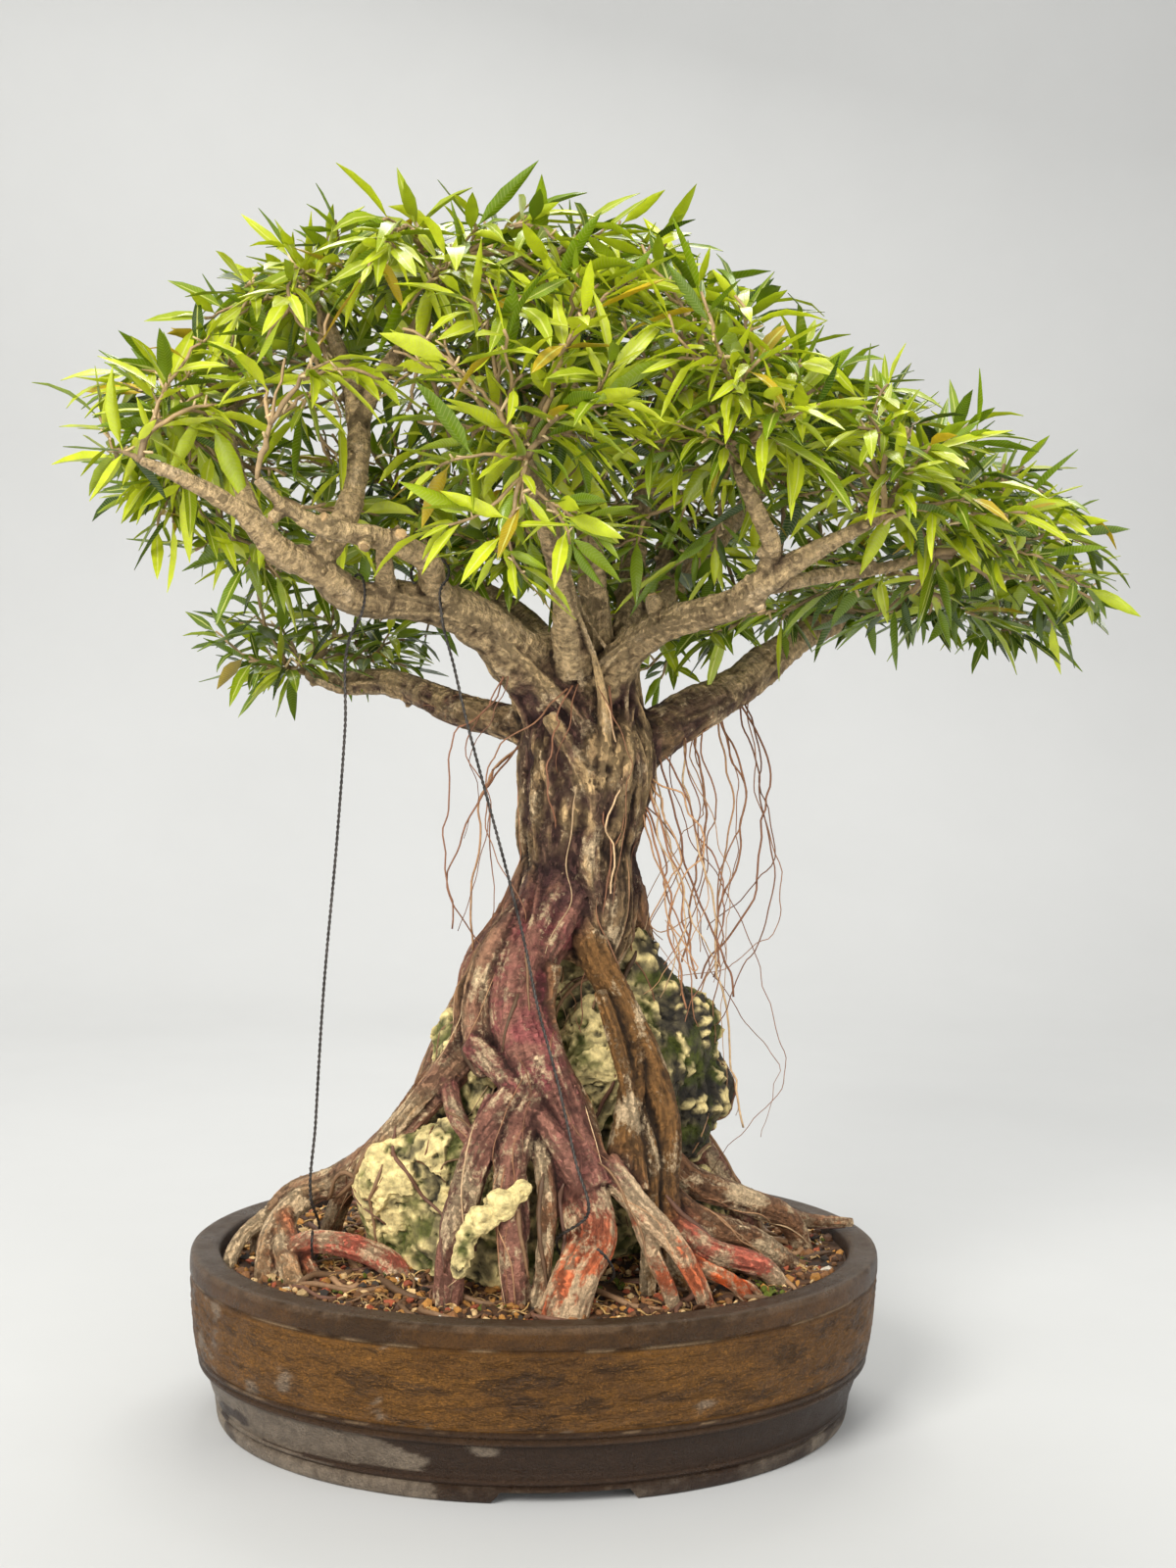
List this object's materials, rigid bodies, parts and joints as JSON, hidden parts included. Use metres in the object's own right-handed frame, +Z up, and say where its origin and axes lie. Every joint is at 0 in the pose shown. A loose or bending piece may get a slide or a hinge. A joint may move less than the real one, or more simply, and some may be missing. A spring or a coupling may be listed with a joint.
{
  "type": "willow leaf ficus bonsai in an oval pot",
  "caption": "Broad-crowned willow leaf fig bonsai with roots grown over a limestone rock, guyed by twisted wires, in an oval unglazed stoneware pot.",
  "frame": {"origin": "under the middle of the whole object, on the surface that the pot stands on", "axes": "+Z up, -Y towards the front that the tree was trained to, +X to the right as seen from the front"},
  "size_m": [0.6932, 0.4796, 0.7724],
  "materials": {
    "stoneware": "matt unglazed brown stoneware, rubbed rim, grey lime bloom near the foot",
    "screen": "matt black plastic mesh",
    "soil": "loose mixed grit of lava, pumice and bark",
    "rock": "porous cream limestone with dark hollows and moss",
    "bark": "tan ridged bark over purple-brown smooth bark, red roots",
    "wire": "dull dark twisted steel wire",
    "leaf": "glossy living leaves, yellow green to deep green"
  },
  "bodies": {
    "root": {"pot": "stoneware", "drain_screen_left": "screen", "drain_screen_right": "screen", "soil": "soil", "limestone_rock": "rock", "tree_wood": "bark", "guy_wire_left": "wire", "guy_wire_right": "wire", "leafy_spray_left_tip": "leaf", "leafy_spray_left_back_high": "leaf", "leafy_spray_front_left_low": "leaf", "leafy_spray_left_crown": "leaf", "leafy_spray_left_centre_crown": "leaf", "leafy_spray_back_left_low": "leaf", "leafy_spray_centre_crown": "leaf", "leafy_spray_right_crown": "leaf", "leafy_spray_upper_right": "leaf", "leafy_spray_front_right": "leaf", "leafy_spray_front_centre_right": "leaf", "leafy_spray_right_middle": "leaf", "leafy_spray_right_tip": "leaf", "leafy_spray_back_right": "leaf", "leafy_spray_back_left": "leaf", "leafy_spray_back_centre": "leaf", "leafy_spray_back_crown": "leaf", "leafy_spray_front_centre": "leaf"}
  },
  "joints": []
}
